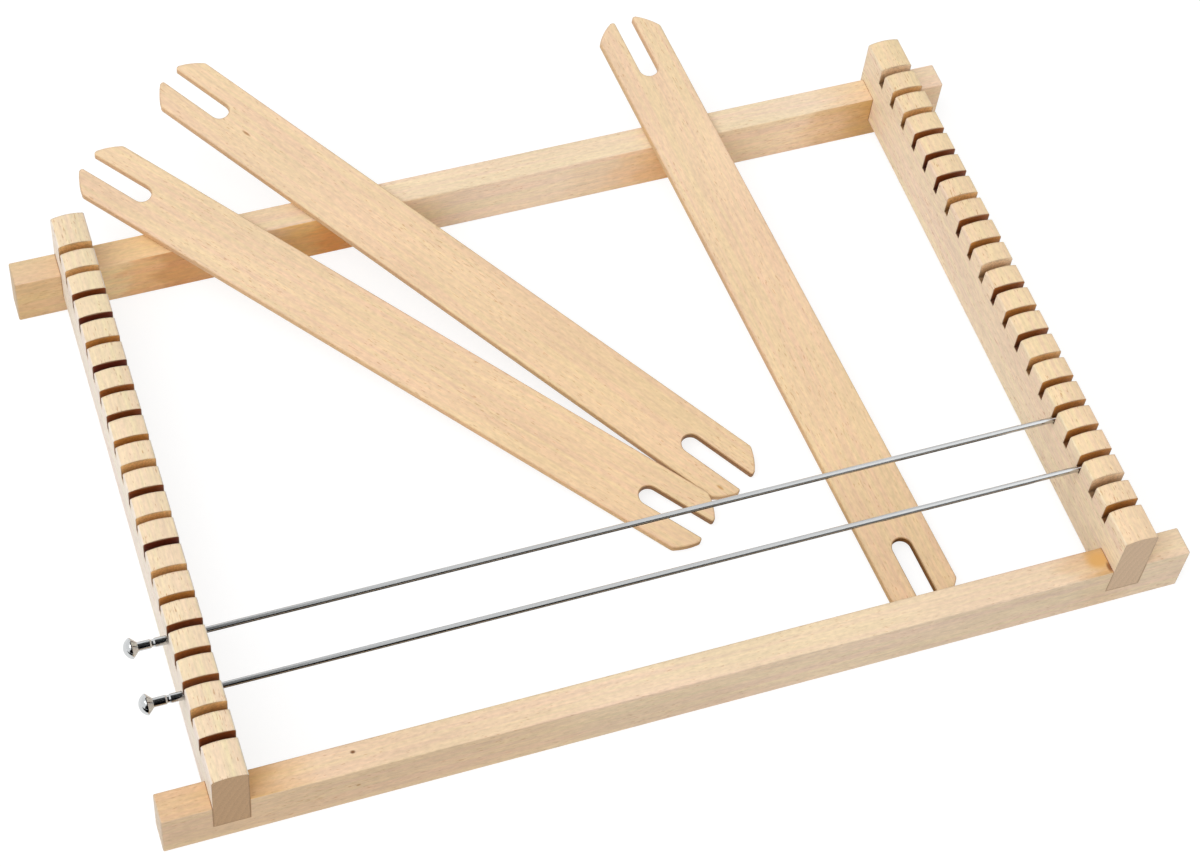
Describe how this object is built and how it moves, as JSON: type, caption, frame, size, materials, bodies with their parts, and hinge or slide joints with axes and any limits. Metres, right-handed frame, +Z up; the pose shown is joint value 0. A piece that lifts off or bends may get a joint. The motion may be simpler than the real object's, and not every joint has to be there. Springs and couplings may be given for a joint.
{
  "type": "weaving loom",
  "caption": "Small wooden frame loom: crossbars carry notched bars, headed steel rods lie in the slots, and flat notched shuttles lean on the rear crossbar.",
  "frame": {"origin": "centre of the front crossbar's underside", "axes": "+X along the crossbars to the right, +Y along the notched bars to the rear, +Z up"},
  "size_m": [0.342, 0.2764, 0.0378],
  "materials": {
    "beech_bars": "planed and sanded, unfinished",
    "beech_shuttles": "sanded, unfinished",
    "zinc_steel": "bright zinc plate"
  },
  "bodies": {
    "frame": {"front_crossbar": "beech_bars", "rear_crossbar": "beech_bars", "left_notched_bar": "beech_bars", "right_notched_bar": "beech_bars"},
    "rear_rod": {"rear_rod_wire": "zinc_steel", "rear_rod_head": "zinc_steel"},
    "front_rod": {"front_rod_wire": "zinc_steel", "front_rod_head": "zinc_steel"},
    "shuttle_left": {"left_shuttle": "beech_shuttles"},
    "shuttle_middle": {"middle_shuttle": "beech_shuttles"},
    "shuttle_right": {"right_shuttle": "beech_shuttles"}
  },
  "joints": [
    {"name": "rear_rod_pull", "type": "slide", "parent": "frame", "child": "rear_rod", "axis": [-1, 0, 0], "range_m": [0, 0.29]},
    {"name": "front_rod_pull", "type": "slide", "parent": "frame", "child": "front_rod", "axis": [-1, 0, 0], "range_m": [0, 0.29]},
    {"name": "left_shuttle_slide", "type": "slide", "parent": "frame", "child": "shuttle_left", "axis": [-0.6574, 0.7469, 0.0998], "range_m": [0, 0.185]},
    {"name": "middle_shuttle_slide", "type": "slide", "parent": "frame", "child": "shuttle_middle", "axis": [-0.5906, 0.7983, 0.118], "range_m": [0, 0.155]},
    {"name": "right_shuttle_slide", "type": "slide", "parent": "frame", "child": "shuttle_right", "axis": [-0.0958, 0.9902, 0.1019], "range_m": [0, 0.185]}
  ]
}
